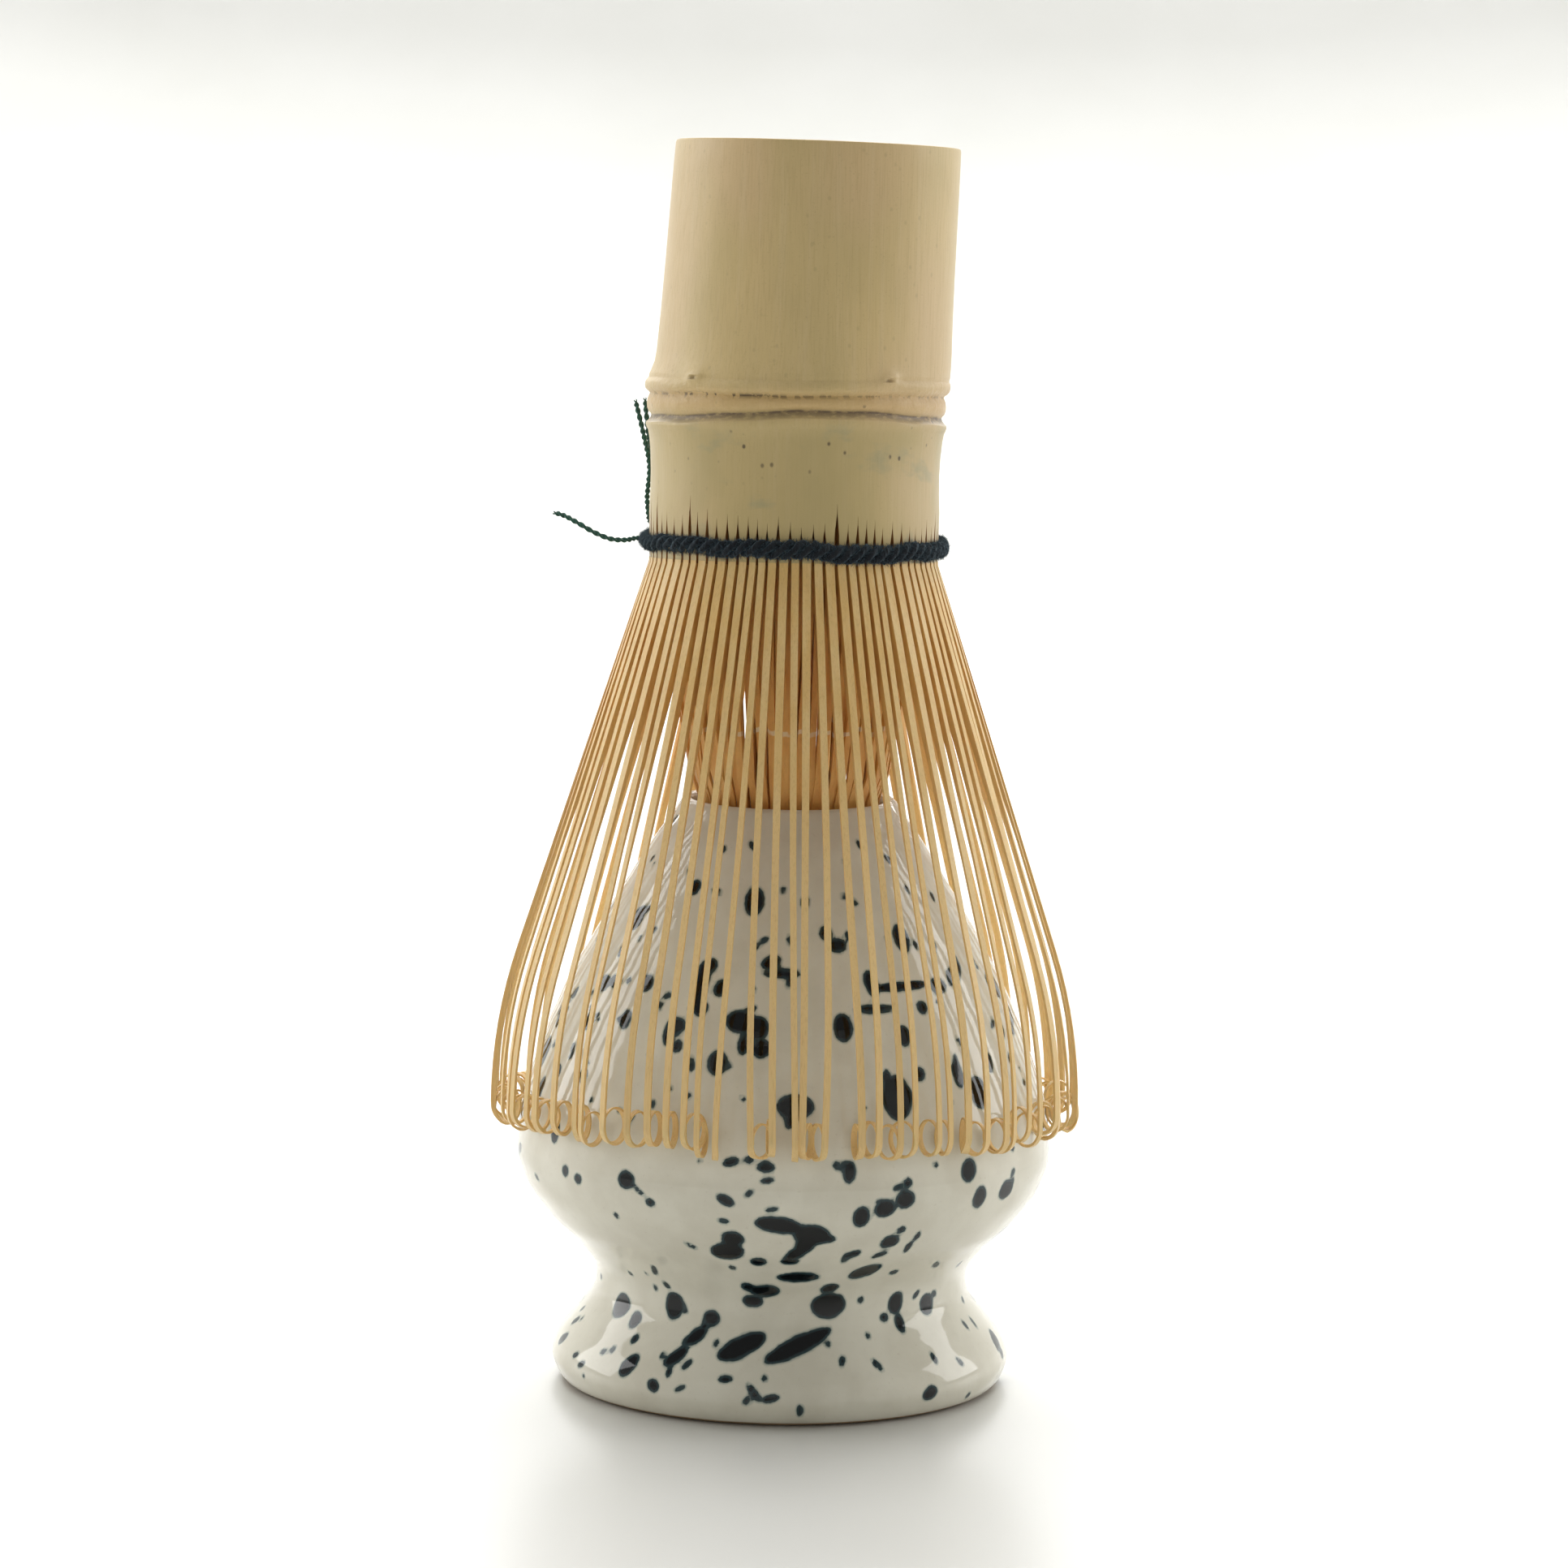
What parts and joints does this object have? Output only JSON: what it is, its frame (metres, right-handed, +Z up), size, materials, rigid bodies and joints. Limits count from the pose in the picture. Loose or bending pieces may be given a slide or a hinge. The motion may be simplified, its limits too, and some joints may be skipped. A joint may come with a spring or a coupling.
{
  "type": "tea whisk on a whisk stand",
  "caption": "Bamboo tea whisk with a woolly band round its tines, resting on a hollow ceramic stand that keeps the tines spread; the whisk lifts off and its tines flex.",
  "frame": {"origin": "centre of the stand's foot, on the table", "axes": "+Z up along the stand's axis, -Y towards the front; the handle bends towards +X and the whisk leans back towards +Y"},
  "size_m": [0.0634, 0.0632, 0.134],
  "materials": {
    "bamboo_skin": "dry matt bamboo skin, khaki tan",
    "bamboo_flesh": "split and shaved bamboo, golden tan, satin",
    "navy_yarn": "fuzzy navy woollen yarn",
    "green_thread": "two-ply dark green cotton thread",
    "splashed_glaze": "glossy off-white glaze splashed with blackish teal"
  },
  "bodies": {
    "stand": {"whisk_stand": "splashed_glaze"},
    "whisk": {"handle_culm": "bamboo_skin", "splint_roots": "bamboo_skin", "binding_yarn": "navy_yarn", "thread_tail_side": "green_thread", "thread_tails_up": "green_thread", "inner_tines_1": "bamboo_flesh", "inner_tines_2": "bamboo_flesh", "inner_tines_3": "bamboo_flesh", "inner_tines_4": "bamboo_flesh"},
    "tine_group_1": {"outer_tines_1": "bamboo_flesh"},
    "tine_group_2": {"outer_tines_2": "bamboo_flesh"},
    "tine_group_3": {"outer_tines_3": "bamboo_flesh"},
    "tine_group_4": {"outer_tines_4": "bamboo_flesh"},
    "tine_group_5": {"outer_tines_5": "bamboo_flesh"},
    "tine_group_6": {"outer_tines_6": "bamboo_flesh"},
    "tine_group_7": {"outer_tines_7": "bamboo_flesh"},
    "tine_group_8": {"outer_tines_8": "bamboo_flesh"}
  },
  "joints": [
    {"name": "whisk_lift", "type": "slide", "parent": "stand", "child": "whisk", "axis": [0, 0, 1], "range_m": [0, 0.1]},
    {"name": "tine_flex_1", "type": "hinge", "parent": "whisk", "child": "tine_group_1", "pos_m": [0, -0.01412, 0.08927], "axis": [-1, 0, 0], "range_deg": [0, 8], "stiffness_Nm_per_rad": 0.01},
    {"name": "tine_flex_2", "type": "hinge", "parent": "whisk", "child": "tine_group_2", "pos_m": [0.01093, -0.0096, 0.08904], "axis": [-0.7071, -0.7061, 0.037], "range_deg": [0, 8], "stiffness_Nm_per_rad": 0.01},
    {"name": "tine_flex_3", "type": "hinge", "parent": "whisk", "child": "tine_group_3", "pos_m": [0.01545, 0.00131, 0.08847], "axis": [0, -0.9986, 0.0523], "range_deg": [0, 8], "stiffness_Nm_per_rad": 0.01},
    {"name": "tine_flex_4", "type": "hinge", "parent": "whisk", "child": "tine_group_4", "pos_m": [0.01093, 0.01222, 0.08789], "axis": [0.7071, -0.7061, 0.037], "range_deg": [0, 8], "stiffness_Nm_per_rad": 0.01},
    {"name": "tine_flex_5", "type": "hinge", "parent": "whisk", "child": "tine_group_5", "pos_m": [0, 0.01674, 0.08766], "axis": [1, 0, 0], "range_deg": [0, 8], "stiffness_Nm_per_rad": 0.01},
    {"name": "tine_flex_6", "type": "hinge", "parent": "whisk", "child": "tine_group_6", "pos_m": [-0.01093, 0.01222, 0.08789], "axis": [0.7071, 0.7061, -0.037], "range_deg": [0, 8], "stiffness_Nm_per_rad": 0.01},
    {"name": "tine_flex_7", "type": "hinge", "parent": "whisk", "child": "tine_group_7", "pos_m": [-0.01545, 0.00131, 0.08847], "axis": [0, 0.9986, -0.0523], "range_deg": [0, 8], "stiffness_Nm_per_rad": 0.01},
    {"name": "tine_flex_8", "type": "hinge", "parent": "whisk", "child": "tine_group_8", "pos_m": [-0.01093, -0.0096, 0.08904], "axis": [-0.7071, 0.7061, -0.037], "range_deg": [0, 8], "stiffness_Nm_per_rad": 0.01}
  ]
}
